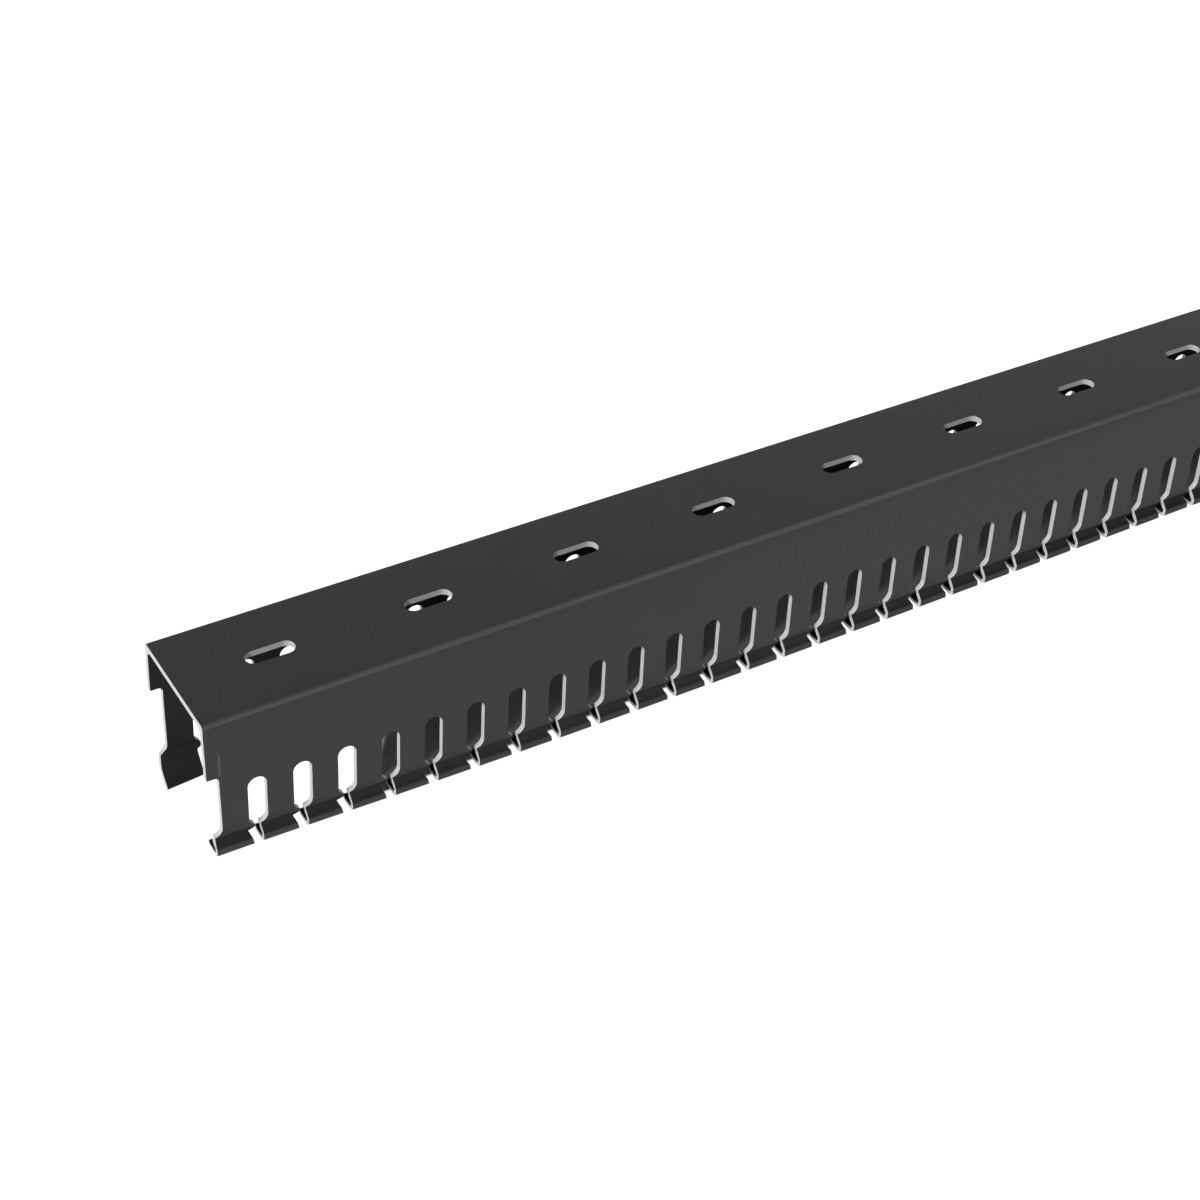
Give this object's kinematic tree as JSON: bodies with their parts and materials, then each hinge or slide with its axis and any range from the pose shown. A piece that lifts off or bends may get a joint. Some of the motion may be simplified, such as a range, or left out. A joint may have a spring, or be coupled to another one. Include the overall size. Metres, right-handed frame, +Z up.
{
  "type": "slotted wire duct",
  "caption": "Open-slot wiring duct channel in dark rigid plastic, with slotted side walls, turned lips for a clip-on cover and fixing slots in its base.",
  "frame": {"origin": "middle of the footprint, on the floor that the lips stand on", "axes": "+X along the length, +Y across, +Z up through the base; the open side faces down"},
  "size_m": [0.5, 0.0426, 0.0443],
  "materials": {
    "duct_plastic": "satin"
  },
  "bodies": {
    "root": {"duct_channel": "duct_plastic"}
  },
  "joints": []
}
